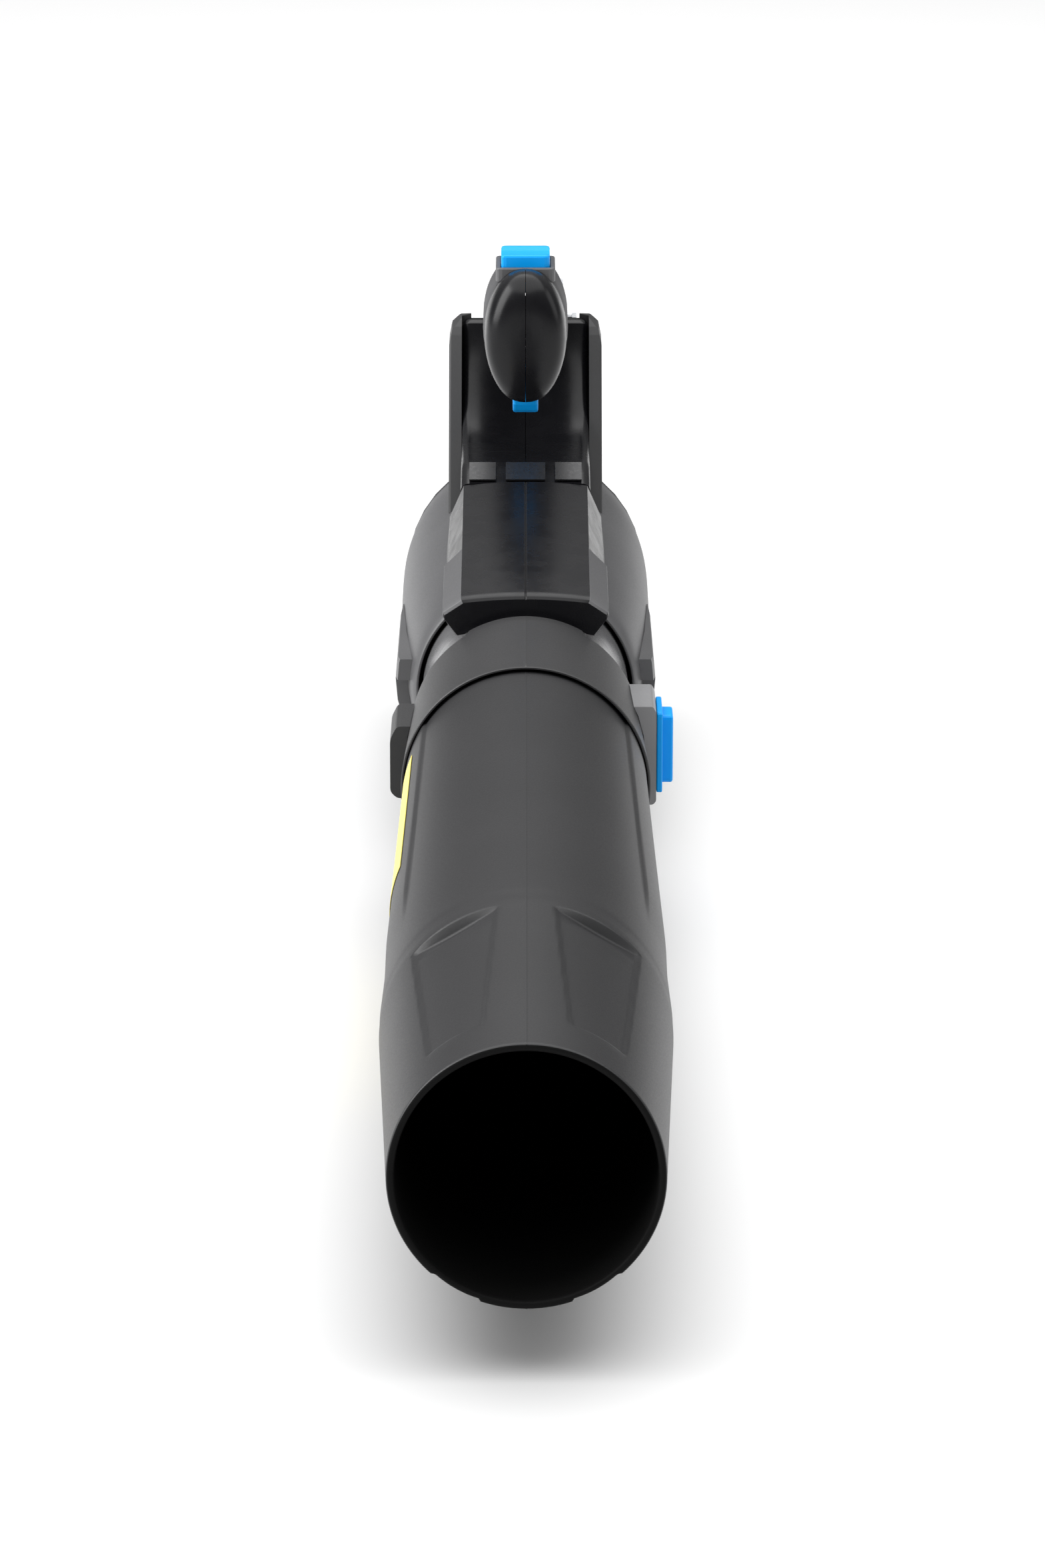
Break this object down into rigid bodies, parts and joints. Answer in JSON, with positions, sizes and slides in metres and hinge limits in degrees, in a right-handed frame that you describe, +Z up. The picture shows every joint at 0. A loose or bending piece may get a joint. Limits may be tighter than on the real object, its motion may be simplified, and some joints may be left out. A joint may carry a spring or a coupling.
{
  "type": "leaf blower",
  "caption": "Cordless axial leaf blower: long tapered tube in a latched collar, fan barrel, hood, C-shaped trigger handle, battery pack behind and a flat foot.",
  "frame": {"origin": "centre of the foot pad's underside, on the ground", "axes": "+Z up, air leaves along -Y, +X is the side of the tube release button"},
  "size_m": [0.1256, 0.9707, 0.2575],
  "materials": {
    "tube_plastic": "fine grained matte",
    "matte_black": "fine grained matte",
    "gloss_black": "polished",
    "grey_plastic": "satin",
    "soft_grip": "soft matte",
    "blue_plastic": "satin",
    "yellow_film": "printed film",
    "label_film": "printed film",
    "steel": "bright",
    "copper": "enamelled winding",
    "board": "lacquered"
  },
  "bodies": {
    "blower": {"tube_collar": "matte_black", "latch_housing": "grey_plastic", "collar_side_block": "matte_black", "release_spring": "steel", "outlet_neck": "gloss_black", "barrel_left": "matte_black", "barrel_right": "matte_black", "side_guard_left": "grey_plastic", "side_guard_right": "grey_plastic", "hood_cover": "gloss_black", "intake_grille": "matte_black", "fan_duct": "matte_black", "motor_housing": "matte_black", "tail_cone": "matte_black", "motor_stator": "copper", "motor_cap": "matte_black", "motor_bearing_front": "steel", "motor_bearing_rear": "steel", "handle_left": "gloss_black", "handle_right": "gloss_black", "grip_strip_left": "soft_grip", "grip_strip_right": "soft_grip", "trigger_pin": "steel", "trigger_spring": "steel", "trigger_switch": "matte_black", "speed_switch": "matte_black", "button_bezel": "grey_plastic", "boost_spring": "steel", "control_board": "board", "switch_lead": "soft_grip", "rear_body_left": "matte_black", "rear_body_right": "matte_black", "terminal_block": "matte_black", "stand_foot": "matte_black", "foot_pad": "soft_grip", "band_plate_middle": "label_film", "band_plate_left": "matte_black", "band_plate_right": "matte_black", "handle_screw_1": "steel", "handle_screw_2": "steel", "body_screw": "steel", "foot_screw_1": "steel", "foot_screw_2": "steel", "foot_screw_3": "steel", "foot_screw_4": "steel"},
    "fan_rotor": {"fan_impeller": "matte_black", "fan_spinner": "matte_black", "motor_shaft": "steel", "motor_rotor": "steel"},
    "trigger": {"trigger": "blue_plastic"},
    "boost_button": {"boost_button": "blue_plastic"},
    "release_button": {"release_button": "blue_plastic"},
    "tube": {"blower_tube": "tube_plastic", "side_sticker": "yellow_film"},
    "battery": {"battery_lower": "matte_black", "battery_upper": "matte_black", "battery_cells": "steel", "battery_latch_spring": "steel"},
    "battery_latch": {"battery_latch": "grey_plastic"}
  },
  "joints": [
    {"name": "fan_spin", "type": "hinge", "parent": "blower", "child": "fan_rotor", "pos_m": [0, 0.066, 0.078], "axis": [0, 1, 0], "continuous": true},
    {"name": "trigger_pull", "type": "hinge", "parent": "blower", "child": "trigger", "pos_m": [0, -0.02615, 0.205], "axis": [1, 0, 0], "range_deg": [0, 12], "stiffness_Nm_per_rad": 0.6, "springref_deg": -14.32, "deforming": ["trigger_spring"]},
    {"name": "boost_press", "type": "slide", "parent": "blower", "child": "boost_button", "axis": [0, 0, -1], "range_m": [0, 0.003], "stiffness_N_per_m": 700, "springref_m": -0.003, "deforming": ["boost_spring"]},
    {"name": "release_press", "type": "slide", "parent": "blower", "child": "release_button", "axis": [-1, 0, 0], "range_m": [0, 0.003], "stiffness_N_per_m": 900, "springref_m": -0.003, "deforming": ["release_spring"]},
    {"name": "tube_slide", "type": "slide", "parent": "blower", "child": "tube", "axis": [0, -1, 0], "range_m": [0, 0.1]},
    {"name": "battery_slide", "type": "slide", "parent": "blower", "child": "battery", "axis": [0, 1, 0], "range_m": [0, 0.1]},
    {"name": "latch_press", "type": "slide", "parent": "battery", "child": "battery_latch", "axis": [0, 0, -1], "range_m": [0, 0.003], "stiffness_N_per_m": 700, "springref_m": -0.003, "deforming": ["battery_latch_spring"]}
  ]
}
